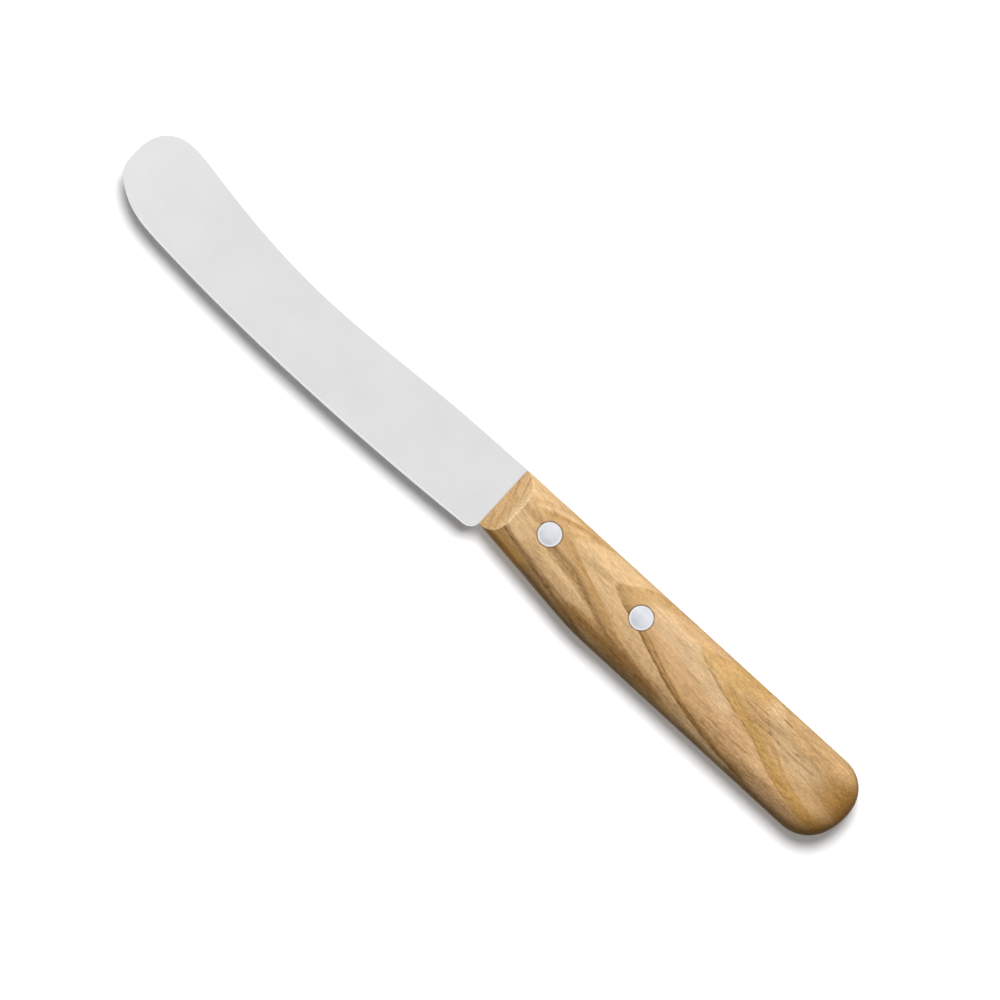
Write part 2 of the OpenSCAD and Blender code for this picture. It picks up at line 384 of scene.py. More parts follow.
def ray_points(rim, middle, edge_share):
    """Points of one ray on the upper side, from the rim inwards, as (x, y, half thickness)."""
    x = rim[0]
    length = math.dist(rim, middle)
    honed = smooth(0.3, 0.9, edge_share) * ground(x)
    width = mix(TANG_EASE if x < 0 else SPINE_EASE, EDGE_BEVEL_W, honed)
    nose = smooth(CHIN_X, BLADE_L, x)
    blunt = spine_half(x) * SPINE_TOP_SHARE if x > 0 else spine_half(x) - TANG_EASE
    rim_half = mix(blunt, mix(EDGE_LAND, NOSE_T * NOSE_RIM_SHARE, nose) / 2, honed)

    def at(inset):
        share = inset / length
        return mix(rim[0], middle[0], share), mix(rim[1], middle[1], share)

    inner = at(width)
    face = face_half(*inner)
    points = []
    for i in range(RIM_STEPS):
        t = i / RIM_STEPS
        quarter = math.radians(90 * t)
        inset = width * mix(1 - math.cos(quarter), t, honed)
        rise = mix(math.sin(quarter), t, honed)
        points.append((*at(inset), mix(rim_half, face, rise)))
    for i in range(FACE_STEPS + 1):
        share = i / FACE_STEPS
        p = mix(inner[0], middle[0], share), mix(inner[1], middle[1], share)
        points.append((*p, face_half(*p)))
    if x == -TANG_END:
        points = [(p[0] + saw_sag(p[1]), p[1], p[2]) for p in points]
    return points


def make_blade(steel, honed_steel):
    rays = rim_rays()
    grid = [ray_points(*ray) for ray in rays]
    count = len(grid[0])
    points = []
    for side in (1, -1):
        points += [(-x, y, side * half) for ray in grid for x, y, half in ray]
    under = len(grid) * count
    faces = []
    honed = []
    for i in range(len(grid) - 1):
        a = i * count
        b = a + count
        faces.append((a, b, b + under, a + under))
        for j in range(count - 1):
            for base, step in ((0, 1), (under, -1)):
                faces.append((base + a + j, base + a + j + 1, base + b + j + 1, base + b + j)[::step])
                if rays[i][2] == 1 and j < RIM_STEPS:
                    honed.append(len(faces) - 1)
    for a in (0, (len(grid) - 1) * count):
        for j in range(a, a + count - 1):
            faces.append((j, j + 1, j + 1 + under, j + under))
    blade = make_mesh("knife_blade", points, faces)
    for i in honed:
        blade.data.polygons[i].material_index = 1
    edit(blade, merge)
    reach = BLADE_T
    radius = SHANK_D / 2 + RIVET_GAP
    cut(blade, [lathe("tang_hole", spot, [(radius, -reach), (radius, reach)]) for spot in RIVETS])
    shade(blade, 5)
    dress(blade, "blade", "blade_steel", steel, honed_steel)
    return blade


# Handle

def butt_corners():
    """Centres of the butt's arcs, and the angles at which they meet, in degrees."""
    end = (HANDLE_L - BUTT_R, BUTT_LIFT - HANDLE_H / 2)
    rear_normal = (math.sin(REAR), math.cos(REAR))
    above = rear_normal[0] * (end[0] - KNEE_X) + rear_normal[1] * (end[1] + KNEE_H)
    top_a = math.degrees(math.acos((BUTT_TOP_R + end[1]) / (BUTT_R - BUTT_TOP_R))) - 90
    low_a = 90 - math.degrees(REAR + math.acos((BUTT_LOW_R - above) / (BUTT_R - BUTT_LOW_R)))
    top = turned(end, BUTT_R - BUTT_TOP_R, top_a)
    low = turned(end, BUTT_R - BUTT_LOW_R, low_a)
    return end, top, low, top_a, low_a


def arc(centre, radius, start, end, step=CORNER_TURN):
    return [turned(centre, radius, a) for a in spaced(start, end, step)]


def wall(start, end, full_length):
    """Points of a straight stretch, without its ends, and as many on every ring as on the full length."""
    count = math.ceil(full_length / WALL_STEP)
    return [(mix(start[0], end[0], i / count), mix(start[1], end[1], i / count)) for i in range(1, count)]


def handle_outline(inset, front):
    """Outline of the handle, drawn in by the inset, with its front at the given distance."""
    end, top, low, top_a, low_a = butt_corners()
    taper = math.degrees(TAPER)
    rear = math.degrees(REAR)
    eased = front + FRONT_EASE
    low_corner = (eased, (inset + FRONT_EASE) / math.cos(TAPER) - FRONT_H - eased * math.tan(TAPER))
    top_corner = (eased, -inset - FRONT_EASE)
    start = arc(low_corner, FRONT_EASE, -180, -90 - taper, EASE_TURN)
    knee = arc(KNEE_C, KNEE_R - inset, -90 - taper, -90 - rear)
    butt = arc(low, BUTT_LOW_R - inset, -90 - rear, low_a)
    butt += arc(end, BUTT_R - inset, low_a, top_a)[1:-1]
    butt += arc(top, BUTT_TOP_R - inset, top_a, 90)
    finish = arc(top_corner, FRONT_EASE, 90, 180, EASE_TURN)
    belly = start + wall(start[-1], knee[0], KNEE_X) + knee + wall(knee[-1], butt[0], HANDLE_L - KNEE_X)
    spine = wall(butt[-1], finish[0], HANDLE_L) + finish
    return belly + butt + spine + wall(finish[-1], start[0], FRONT_H)


def bevel_front(height):
    """Distance at which the bevelled front stands at a height above the middle plane. The bevel's upper
    border is rounded into the flat."""
    slope = math.atan2(HALF_T - LIP, FRONT_BEVEL_L)
    below = HALF_T - height
    if below < FRONT_BORDER_R * (1 - math.cos(slope)):
        round_end = FRONT_BEVEL_L + FRONT_BORDER_R * math.tan(slope / 2)
        return round_end - arc_height(FRONT_BORDER_R, FRONT_BORDER_R - below)
    return max(0, FRONT_BEVEL_L - below / math.tan(slope))


def roll_ring(side, turn):
    """Ring of the rolled edge on one side, at a turn of 0 to 90 degrees towards the flat."""
    angle = math.radians(turn)
    z = HALF_T - ROLL_D * (1 - math.sin(angle))
    outline = handle_outline(ROLL_W * (1 - math.cos(angle)), bevel_front(z))
    return [(x, y, side * z) for x, y in outline]


def lathe(name, spot, profile):
    """Round piece on an upright axis, from (radius, height) pairs."""
    rings = [[(*turned(spot, r, 360 * i / SIDES), z) for i in range(SIDES)] for r, z in profile]
    return make_mesh(name, *loft(rings))


def slot_cutter():
    end = TANG_END + SLOT_END_GAP
    heights = spaced(-HANDLE_H - OVER, OVER, OVER)
    outline = [(-OVER, heights[0])] + [(end - saw_sag(y), y) for y in heights] + [(-OVER, heights[-1])]
    half = BLADE_T / 2 + SLOT_GAP
    return make_mesh("slot", *loft([[(x, y, z) for x, y in outline] for z in (-half, half)]))


def bore_cutter(spot):
    shank = SHANK_D / 2 + RIVET_GAP
    waist = HALF_T - HEAD_DEPTH
    flare = (HEAD_D - SHANK_D) / 2 / HEAD_DEPTH
    reach = HALF_T + OVER
    head = shank + flare * (reach - waist)
    return lathe("bore", spot, [(head, -reach), (shank, -waist), (shank, waist), (head, reach)])


def make_handle(wood):
    lip_turn = math.degrees(math.asin(1 - (HALF_T - LIP) / ROLL_D))
    turns = [0, lip_turn] + spaced(ROLL_TURN, 90, ROLL_TURN)
    rings = [roll_ring(-1, turn) for turn in turns[::-1]] + [roll_ring(1, turn) for turn in turns]
    handle = make_mesh("knife_handle", *loft(rings))
    edit(handle, merge)
    cut(handle, [slot_cutter()] + [bore_cutter(spot) for spot in RIVETS])
    shade(handle, 25)
    dress(handle, "handle", "olive_wood", wood)
    return handle


# Rivets

def wood_top(y):
    """Height of the handle's surface near the spine, above the middle plane."""
    across = max(0, 1 + y / ROLL_W)
    return HALF_T - ROLL_D * (1 - math.sqrt(1 - across * across))


def make_rivet(name, node, spot, metal):
    radius = HEAD_D / 2
    ends = [(r, HEAD_CROWN * (r / radius) ** 2) for r in spaced(0.2, radius - HEAD_EASE, 0.25)]
    for turn in (30, 60, 90):
        angle = math.radians(turn)
        rim = radius - HEAD_EASE * (1 - math.sin(angle))
        ends.append((rim, HEAD_CROWN + HEAD_EASE * (1 - math.cos(angle))))
    ends.append((SHANK_D / 2, HEAD_DEPTH))

    def ring(side, r, depth):
        circle = [turned(spot, r, 360 * i / SIDES) for i in range(SIDES)]
        return [(x, y, side * (wood_top(y) - depth)) for x, y in circle]

    rings = [ring(-1, *end) for end in ends] + [ring(1, *end) for end in ends[::-1]]
    rivet = make_mesh(name, *loft(rings))
    edit(rivet, merge)
    shade(rivet, 25)
    dress(rivet, node, "rivet_metal", metal)
    return rivet


# Materials

def linear(red, green, blue):
    """A display colour, 0 to 255, as the shader's linear colour."""
    def channel(value):
        share = value / 255
        return share / 12.92 if share <= 0.04045 else ((share + 0.055) / 1.055) ** 2.4
    return channel(red), channel(green), channel(blue), 1


class Graph:
    """Short hand for wiring up the nodes of one material or of the world."""

    def __init__(self, owner):
        owner.use_nodes = True
        self.tree = owner.node_tree
        self.tree.nodes.clear()

    def node(self, kind, sockets=None, **settings):
        made = self.tree.nodes.new("ShaderNode" + kind)
        for name, value in settings.items():
            setattr(made, name, value)
        for key, value in (sockets or {}).items():
            if isinstance(value, bpy.types.NodeSocket):
                self.tree.links.new(value, made.inputs[key])
            else:
                made.inputs[key].default_value = value
        return made

    def maths(self, operation, a, b=0.0, c=0.0):
        return self.node("Math", {0: a, 1: b, 2: c}, operation=operation).outputs[0]

    def vectors(self, operation, a, b):
        return self.node("VectorMath", {0: a, 1: b}, operation=operation).outputs[0]

    def scaled(self, vector, factor):
        return self.node("VectorMath", {0: vector, "Scale": factor}, operation="SCALE").outputs[0]

    def noise(self, vector, detail=2.0, roughness=0.5):
        sockets = {"Vector": vector, "Scale": 1.0, "Detail": detail, "Roughness": roughness}
        return self.node("TexNoise", sockets).outputs["Fac"]

    def texture(self, vector, closeness, detail=2.0, roughness=0.5):
        """Noise that lies as closely in x, y and z as given, per millimetre."""
        return self.noise(self.vectors("MULTIPLY", vector, closeness), detail, roughness)

    def ranged(self, value, low, high, to_low, to_high):
        sockets = {"Value": value, 1: low, 2: high, 3: to_low, 4: to_high}
        return self.node("MapRange", sockets, interpolation_type="SMOOTHSTEP").outputs[0]

    def joined(self, x, y, z):
        return self.node("CombineXYZ", {0: x, 1: y, 2: z}).outputs[0]

    def mixed(self, share, a, b):
        return self.node("Mix", {0: share, 6: a, 7: b}, data_type="RGBA").outputs[2]

    def ramp(self, value, stops):
        made = self.node("ValToRGB", {0: value})
        points = made.color_ramp.elements
        while len(points) < len(stops):
            points.new(0.5)
        for point, (position, colour) in zip(points, stops):
            point.position = position
            point.color = colour
        return made.outputs[0]

    def curve(self, value, points):
        """A smooth curve through points, whose coordinates go from 0 to 1."""
        made = self.node("FloatCurve", {"Value": value})
        line = made.mapping.curves[0].points
        while len(line) < len(points):
            line.new(0.5, 0.5)
        for spot, place in zip(line, points):
            spot.location = place
        made.mapping.update()
        return made.outputs[0]

    def drawing_point(self):
        """The surface point in drawing millimetres, as a vector and as x, y and z."""
        place = self.node("TexCoord").outputs["Object"]
        point = self.scaled(self.vectors("SUBTRACT", place, CORNER), 1 / MM)
        split = self.node("SeparateXYZ", {0: point})
        return point, *split.outputs

    def bump(self, height, depth, strength=1.0):
        return self.node("Bump", {"Height": height, "Distance": depth, "Strength": strength}).outputs[0]

    def surface(self, **sockets):
        """Ends a material in a Principled shader."""
        named = {key.replace("_", " "): value for key, value in sockets.items()}
        shader = self.node("BsdfPrincipled", named)
        self.node("OutputMaterial", {"Surface": shader.outputs[0]})


def new_material(name):
    material = bpy.data.materials.new(name)
    return material, Graph(material)


# Polishing lines of the steel: how many to a millimetre, their lean and how closely they break along them
LINES_PER_MM = 6.0
LINE_LEAN = 0.06
LINE_BREAKS = 0.12
STEEL_CLOUDS = (0.06, 0.09, 0.09)
# Past this share of the blade's length, painted light makes the steel brighter towards the nose
PAINTED_LIGHT_FROM = 0.65
NOSE_PAINTED_LIGHT = 0.2
RIVET_RINGS_PER_MM = 9.0
RIVET_CLOUDS = (0.35, 0.35, 0.35)


def make_steel(name, dark, light, smoothest, roughest):
    """Satin steel with fine polishing lines from spine to edge, and painted light towards the nose."""
    material, graph = new_material(name)
    point, x, y, z = graph.drawing_point()
    lean = graph.maths("ADD", x, graph.maths("MULTIPLY", y, LINE_LEAN))
    close = graph.maths("MULTIPLY", lean, LINES_PER_MM)
    lines = graph.noise(graph.joined(close, graph.maths("MULTIPLY", y, LINE_BREAKS), z), 4.0, 0.6)
    clouds = graph.texture(point, STEEL_CLOUDS)
    tone = graph.maths("ADD", graph.maths("MULTIPLY", lines, 0.45), graph.maths("MULTIPLY", clouds, 0.55))
    # Painted light: the base colour brightens towards the nose
    nose = graph.ranged(x, -BLADE_L, -PAINTED_LIGHT_FROM * BLADE_L, NOSE_PAINTED_LIGHT, 0.0)
    tone = graph.maths("ADD", tone, nose)
    graph.surface(
        Base_Color=graph.ramp(tone, [(0.3, linear(*dark)), (0.8, linear(*light))]),
        Metallic=1.0,
        Roughness=graph.ranged(lines, 0.3, 0.7, smoothest, roughest),
        Normal=graph.bump(lines, 0.002 * MM, 0.5),
    )
    return material


def make_rivet_metal():
    """Pale ground metal with faint rings round each rivet, and painted light: a bright rim, shade to the
    belly.
    """
    material, graph = new_material("rivet_metal")
    point, x, y, z = graph.drawing_point()
    radius = rivet_distance(graph, x, y)
    close = graph.maths("MULTIPLY", radius, RIVET_RINGS_PER_MM)
    rings = graph.noise(graph.joined(close, 0.0, 0.0), 3.0)
    clouds = graph.texture(point, RIVET_CLOUDS, 1.0)
    tone = graph.maths("ADD", graph.maths("MULTIPLY", rings, 0.3), graph.maths("MULTIPLY", clouds, 0.7))
    # Painted highlight on the rivet's rim
    rim = graph.ranged(radius, 0.78 * HEAD_D / 2, 0.94 * HEAD_D / 2, 0.0, 0.8)
    dull = graph.ramp(tone, [(0.35, linear(194, 196, 202)), (0.65, linear(208, 210, 216))])
    bright = graph.ramp(tone, [(0.35, linear(220, 222, 228)), (0.65, linear(236, 238, 243))])
    # Painted shade: duller towards the belly, brighter towards the spine
    painted_light_share = graph.ranged(y, -RIVET_DROP - 0.42 * HEAD_D, -RIVET_DROP + 0.2 * HEAD_D, 0.0, 1.0)
    graph.surface(
        Base_Color=graph.mixed(rim, graph.mixed(painted_light_share, dull, bright), linear(240, 243, 250)),
        Metallic=1.0,
        Roughness=graph.ranged(tone, 0.3, 0.7, 0.26, 0.36),
        Normal=graph.bump(rings, 0.003 * MM, 0.4),
    )
    return material


def rivet_distance(graph, x, y):
    """Distance from the nearer rivet's axis."""
    middle = RIVET_X + RIVET_PITCH / 2
    folded = graph.maths("ABSOLUTE", graph.maths("SUBTRACT", x, middle))
    over = graph.maths("SUBTRACT", folded, RIVET_PITCH / 2)
    down = graph.maths("ADD", y, RIVET_DROP)
    square = graph.maths("MULTIPLY_ADD", over, over, graph.maths("MULTIPLY", down, down))
    return graph.maths("SQRT", square)


# Colours of the wood
# Palest wood of the figure, also used as the painted highlight on the bevelled front's border
PALEST_AND_HIGHLIGHT = linear(238, 209, 166)
PALE = linear(222, 186, 138)
PINK = linear(212, 172, 126)
TAN = linear(208, 169, 120)
WARM = linear(203, 163, 112)
OLIVE = linear(206, 167, 110)
MUSTARD = linear(192, 150, 90)
DULL = linear(199, 161, 115)
ORANGE = linear(252, 188, 98)
OCHRE = linear(180, 135, 73)
GREY_BROWN = linear(160, 124, 82)
BROWN = linear(154, 113, 63)
DARK = linear(126, 87, 41)
BUTT_BROWN = linear(160, 117, 59)
FACET_BROWN = linear(172, 134, 88)
SHADED = linear(170, 130, 84)
BAND_BROWN = linear(150, 115, 74)
# Colours of the painted shade on the rim and along the butt's outline
RIM_SHADE_BROWN = linear(138, 106, 54)
OUTLINE_SHADE_BROWN = linear(104, 70, 26)

# Growth bands of the wood: place along the growth, in millimetres of handle length, and colour
BANDS = [
    (-40, WARM),
    (-20, WARM),
    (-12, PALE),
    (-1, PALE),
    (8, TAN),
    (14, TAN),
    (19, PALE),
    (32, PALE),
    (36, WARM),
    (43, PINK),
    (58, PINK),
    (61, OLIVE),
    (67, OLIVE),
    (73, TAN),
    (84, DULL),
    (109, WARM),
]
# The bands run in nested points towards the blade: depth of the points below the spine, spread and curl
# of their arms, and how round they are
POINT_DROP = 4.6
ARM_SPREAD = 1.9
ARM_CURL = 0.1
POINT_ROUND = 0.8
# The points wander up and down from band to band
WANDER = 1.0
WANDER_FROM = 34
WANDER_L = 47
# Below the upper rolled edge the figure drifts along and across the handle with the depth
DRIFT_ALONG = -2.0
DRIFT_ACROSS = 0.6
# The fibres fall towards the belly at the front, and run level further back
FIBRE_FALL = 0.2
FIBRE_LEVEL = 0.0012
# Length over which a strand fades at its ends
STRAND_TAIL = 4
# Textures of the wood: how closely each one lies along the handle, across it and upwards, per millimetre
STREAKS = (0.16, 1.5, 1.5)
THREADS = (0.7, 3.2, 3.2)
HAIRS = (2.0, 8.0, 8.0)
PORES = (0.3, 2.6, 2.6)
FLECKS = (2.4, 3.0, 3.0)
PATCHES = (0.04, 0.2, 0.2)
WAVES = (0.12, 0.4, 0.4)
RIPPLES = (0.3, 0.9, 0.9)
# How far the waves push the fibres aside, and the ripples the figure
WAVE_DEPTH = 1.2
RIPPLE_DEPTH = 0.7
# The growth layers that show between the bands, along the growth and across
LAYERS_PER_MM = 0.5
LAYER_BREAKS = 0.08
# Values between which nearly all of a noise lies
NOISE_SPAN = (0.25, 0.75)
# The grain is stronger behind the handle's middle
GRAIN_CHANGE = (50, 75)
FRONT_GRAIN = 0.95
REAR_GRAIN = 1.35
# Painted shade of the gap round the rivets
GAP_SHADE_W = 0.45
GAP_SHADE_TONE = 0.42
# Steep streaks of the bevelled front
FACET_LEAN = 0.36
FACET_STREAKS_PER_MM = 1.6
FACET_BREAKS = 0.12
# The wood darkens towards the butt over this stretch. The streaks ripple it, and it is set back along the
# spine and along one streak
BUTT_STRETCH = (97, 111)
BUTT_RIPPLE = 6.0
SPINE_STRIP = (-6, -1)
SPINE_SET_BACK = 8.0
STREAK_DROP = 13.0
STREAK_HALF = 3.0
STREAK_SET_BACK = 5.0
# Painted shade darkens the steep rim behind the front, less so along the spine, and reaches further in at
# the butt, where its outline gets the darkest painted shade
RIM_START = (8, 30)
RIM_SHARE = 0.75
SPINE_RIM_SHARE = 0.35
BUTT_RIM_START = (98, 106)
OUTLINE_START = (100, 106)
OUTLINE_SHARE = 0.45


class Strand(NamedTuple):
    """A line or band of the figure. From its course upwards it is full over the middle one of its widths,
    and it fades out over the first one below and over the last one above. Its ends fade over its tail."""
    colour: tuple
    strength: float
    widths: tuple
    course: list
    tail: float = STRAND_TAIL


REAR_POINT_TOP = [(32.3, -5.9), (34, -5), (36, -3.9), (39, -2), (42, -0.9), (47, -0.4)]
REAR_POINT_LOW = [(32.3, -5.6), (34, -6.7), (36, -7.6), (44, -10.3), (52, -13.3), (60, -15.9)]
REAR_POINT_LOW += [(66, -17.3), (72, -18.4), (86, -19.8)]
SECOND_LINE = [(44, -8.8), (50, -11.2), (54, -12.9), (58, -14.4), (62, -15.6), (66, -16.7), (76, -18.3)]
OLIVE_TOP = [(56.5, -3.9), (60, -2.7), (64, -1.6), (70, -1), (80, -0.6)]
OLIVE_LOW = [(56.5, -3), (60, -4.8), (66, -7), (73, -9), (80, -10.9), (88, -14.2), (96, -16.4), (108, -18)]

STRANDS = [
    # Pale and dull stretches
    Strand(PALEST_AND_HIGHLIGHT, 0.5, (2.0, 3.5, 1.5), [(40, -5), (48, -6.6), (56, -7.4), (64, -9), (74, -11.8)]),
    Strand(PALEST_AND_HIGHLIGHT, 0.4, (1.2, 3.4, 1.2), [(76, -2.6), (81, -4.6), (86, -8.4), (92, -10.2), (101, -9.6)]),
    Strand(
        GREY_BROWN, 0.42, (0.5, 2.6, 1.6),
        [(53, -17), (60, -18), (72, -18.8), (84, -19.3), (104, -19.6)],
    ),
    Strand(
        SHADED, 0.5, (1.2, 2.4, 1.6),
        [(8, -13.6), (14, -14.8), (20, -16.2), (26, -17), (33, -18), (48, -20)],
    ),
    Strand(BROWN, 0.8, (1.0, 2.0, 1.0), [(26, -19), (31, -18.3), (36, -18), (42, -18.7), (50, -20)]),
    Strand(SHADED, 0.25, (1.2, 1.0, 1.2), [(30, -10.8), (37, -11.6), (46, -12.6)]),
    Strand(SHADED, 0.35, (1.5, 1.5, 1.5), [(58, -13), (70, -15), (84, -15.4)]),
    Strand(SHADED, 0.35, (0.8, 2.6, 0.4), [(66, -3.4), (72, -3.6), (80, -3)]),
    Strand(GREY_BROWN, 0.45, (1.0, 1.8, 1.2), [(42, -13.5), (50, -15.3), (58, -17.2), (66, -18.5)]),
    Strand(GREY_BROWN, 0.4, (0.6, 1.0, 0.6), [(21, -6.2), (27, -6.4), (34, -6)]),
    Strand(GREY_BROWN, 0.4, (0.3, 0.1, 0.3), [(26, -7.9), (30, -7.6), (35, -7.6)]),
    Strand(GREY_BROWN, 0.4, (0.6, 1.2, 0.8), [(75, -18), (84, -18.4), (92, -18.3), (102, -18)]),
    # Front point, round the front rivet
    Strand(PALEST_AND_HIGHLIGHT, 0.55, (0.4, 0.3, 0.5), [(5.5, -5.4), (10, -3.2), (13, -2.1), (19, -1)]),
    Strand(OCHRE, 0.7, (0.9, 0.2, 0.4), [(7.5, -5.2), (12, -3.5), (15, -2.4), (19, -1.5), (27, -0.5)]),
    Strand(OCHRE, 0.4, (1.4, 0.2, 0.6), [(14, -5.6), (18, -4), (21, -2.4), (24, -1.2), (30, -0.6)]),
    Strand(BROWN, 0.5, (1.0, 0.6, 1.3), [(1, -6.6), (8, -7), (14, -7.6)]),
    Strand(OCHRE, 0.65, (2.2, 0.1, 0.4), [(15, -4.6), (25, -8.1), (36, -12.5), (44, -15.4), (64, -19.6)]),
    Strand(
        BAND_BROWN, 0.9, (1.7, 0.7, 1.6),
        [(10, -9), (16, -9.8), (24, -11), (32, -13.6), (42, -16.4), (58, -19)],
    ),
    Strand(DARK, 0.4, (0.3, 0.3, 0.4), [(14, -9.6), (18, -9.5), (22, -10), (27, -11)]),
    Strand(DARK, 0.4, (0.3, 0.2, 0.4), [(17, -11.2), (22, -11.6), (27, -12)]),
    Strand(
        DARK, 0.55, (0.5, 0.4, 0.6),
        [(23, -10.2), (28, -12), (34, -14.6), (42, -16.6), (50, -17.7), (60, -19.2)],
    ),
    # Along the belly
    Strand(BROWN, 0.35, (1.2, 1.4, 1.0), [(1, -15), (6, -15.6), (12, -16.6), (20, -18), (30, -19.4)]),
    Strand(
        DARK, 0.85, (0.5, 0.4, 0.7),
        [(1, -12.4), (6, -13.7), (12, -15.2), (20, -17), (28, -18.7), (36, -20.2)],
    ),
    Strand(GREY_BROWN, 0.6, (0.6, 0.3, 0.6), [(8, -14.2), (15, -15.2), (21, -16.2), (30, -17.4)]),
    Strand(ORANGE, 0.95, (1.2, 1.7, 0.8), [(0, -16.8), (8, -17.8), (16, -18.8)]),
    Strand(PALE, 0.4, (0.8, 0.6, 0.6), [(8, -18), (14, -18.7), (20, -19.4)]),
    Strand(DARK, 0.25, (0.4, 0.2, 0.5), [(1, -15.8), (6, -16.7), (12, -17.7), (18, -18.6), (28, -19.9)]),
    Strand(BROWN, 0.85, (0.7, 1.6, 0.9), [(24, -18.4), (34, -18.7), (42, -19), (60, -20)]),
    Strand(DARK, 0.5, (0.5, 0.5, 0.6), [(28, -17.4), (36, -17.8), (46, -18.4), (57, -19.3)]),
    Strand(DARK, 0.5, (0.6, 1.0, 1.0), [(28, -20.4), (40, -20.6), (54, -20.8)]),
    Strand(DARK, 0.45, (0.6, 0.8, 1.0), [(78, -20.6), (90, -20.8), (104, -20.4)]),
    # Rear point, round the rear rivet
    Strand(OCHRE, 0.7, (2.6, 0.1, 0.4), REAR_POINT_TOP, 2),
    Strand(BROWN, 0.75, (0.3, 0.7, 1.3), REAR_POINT_LOW, 2),
    Strand(DARK, 0.85, (0.35, 0.3, 0.45), REAR_POINT_LOW[2:]),
    Strand(DARK, 0.6, (0.35, 0.2, 0.35), SECOND_LINE),
    # Olive point and its long arm
    Strand(OLIVE, 0.75, (4.5, 0.2, 0.4), OLIVE_TOP),
    Strand(OCHRE, 0.4, (0.7, 0.1, 0.4), OLIVE_TOP),
    Strand(OLIVE, 0.9, (0.2, 2.2, 1.0), OLIVE_LOW),
    Strand(MUSTARD, 0.95, (0.2, 1.9, 1.0), [(66, -7), (80, -10.9), (88, -14.2), (96, -16.4), (112, -18)]),
    Strand(
        OCHRE, 0.6, (1.4, 0.1, 0.4),
        [(74, -5.8), (82, -8), (87, -9.8), (91, -12), (97, -13.9), (108, -17)],
    ),
    Strand(BROWN, 0.55, (0.25, 0.1, 0.4), OLIVE_LOW),
    Strand(OCHRE, 0.45, (0.3, 1.8, 1.0), [(86, -14), (92, -15.8), (98, -17.2), (108, -18.4)]),
    # Short dark streaks
    Strand(BROWN, 0.55, (0.3, 0.2, 0.3), [(73, -4.6), (79, -4.4), (86, -4.3)]),
    Strand(BROWN, 0.4, (0.3, 0.1, 0.3), [(80, -2.6), (87, -2.9), (96, -3.2)]),
    Strand(BROWN, 0.35, (0.3, 0.2, 0.3), [(59, -12), (64, -12.4), (72, -12.7)]),
    Strand(BROWN, 0.35, (0.3, 0.2, 0.3), [(57, -9.4), (61, -9.7), (67, -10.2)]),
    Strand(BROWN, 0.6, (0.4, 0.2, 0.4), [(67, -14), (74, -14.5), (84, -14.2)]),
    Strand(BROWN, 0.45, (0.4, 0.2, 0.4), [(66, -15.3), (73, -15.4), (80, -15.3)]),
    Strand(GREY_BROWN, 0.5, (0.4, 0.4, 0.4), [(72, -5.5), (80, -5.8), (88, -5.4)]),
    Strand(GREY_BROWN, 0.45, (0.3, 0.2, 0.3), [(78, -1.6), (86, -1.9), (93, -1.8)]),
    Strand(GREY_BROWN, 0.55, (0.4, 0.2, 0.4), [(87, -3.5), (94, -3.2), (101, -3)]),
    Strand(BROWN, 0.5, (0.3, 0.2, 0.3), [(81, -7.4), (88, -7.8), (98, -7.8)]),
    Strand(BROWN, 0.45, (0.3, 0.2, 0.3), [(86, -9.8), (92, -9.7), (102, -10.5)]),
    Strand(BROWN, 0.5, (0.4, 0.2, 0.5), [(72, -16.4), (80, -17), (94, -16.8)]),
]


def growth(graph, x, y):
    """Place along the wood's growth of a point of the figure."""
    def arms(drop):
        away = graph.maths("ADD", y, drop)
        square = graph.maths("MULTIPLY", away, away)
        fan = graph.maths("SQRT", graph.maths("ADD", square, POINT_ROUND * POINT_ROUND))
        return graph.maths("MULTIPLY_ADD", fan, ARM_SPREAD, graph.maths("MULTIPLY", square, ARM_CURL))

    first = graph.maths("SUBTRACT", x, arms(POINT_DROP))
    phase = graph.maths("MULTIPLY", graph.maths("SUBTRACT", first, WANDER_FROM), 2 * math.pi / WANDER_L)
    drop = graph.maths("MULTIPLY_ADD", graph.maths("COSINE", phase), WANDER, POINT_DROP)
    return graph.maths("SUBTRACT", x, arms(drop))


def strand_share(graph, strand, x, y):
    """How much of a strand's colour shows at a point of the figure."""
    points = [(at / HANDLE_L, -height / HANDLE_H) for at, height in strand.course]
    course = graph.curve(graph.maths("DIVIDE", x, HANDLE_L), points)
    above = graph.maths("MULTIPLY_ADD", course, HANDLE_H, y)
    below_w, full_w, above_w = strand.widths
    start, end = strand.course[0][0], strand.course[-1][0]
    share = graph.ranged(above, -below_w, 0.0, 0.0, strand.strength)
    for fade in (
        graph.ranged(above, full_w, full_w + above_w, 1.0, 0.0),
        graph.ranged(x, start, start + strand.tail, 0.0, 1.0),
        graph.ranged(x, end - strand.tail, end, 1.0, 0.0),
    ):
        share = graph.maths("MULTIPLY", share, fade)
    return share


def figure(graph, x, y, breaks):
    """Place along the growth, and colour of the bands and strands, at a point of the figure."""
    place = growth(graph, x, y)
    first = BANDS[0][0]
    run = BANDS[-1][0] - first
    stops = [((at - first) / run, colour) for at, colour in BANDS]
    colour = graph.ramp(graph.maths("DIVIDE", graph.maths("SUBTRACT", place, first), run), stops)
    for strand in STRANDS:
        share = graph.maths("MULTIPLY", strand_share(graph, strand, x, y), breaks)
        colour = graph.mixed(share, colour, strand.colour)
    return place, colour


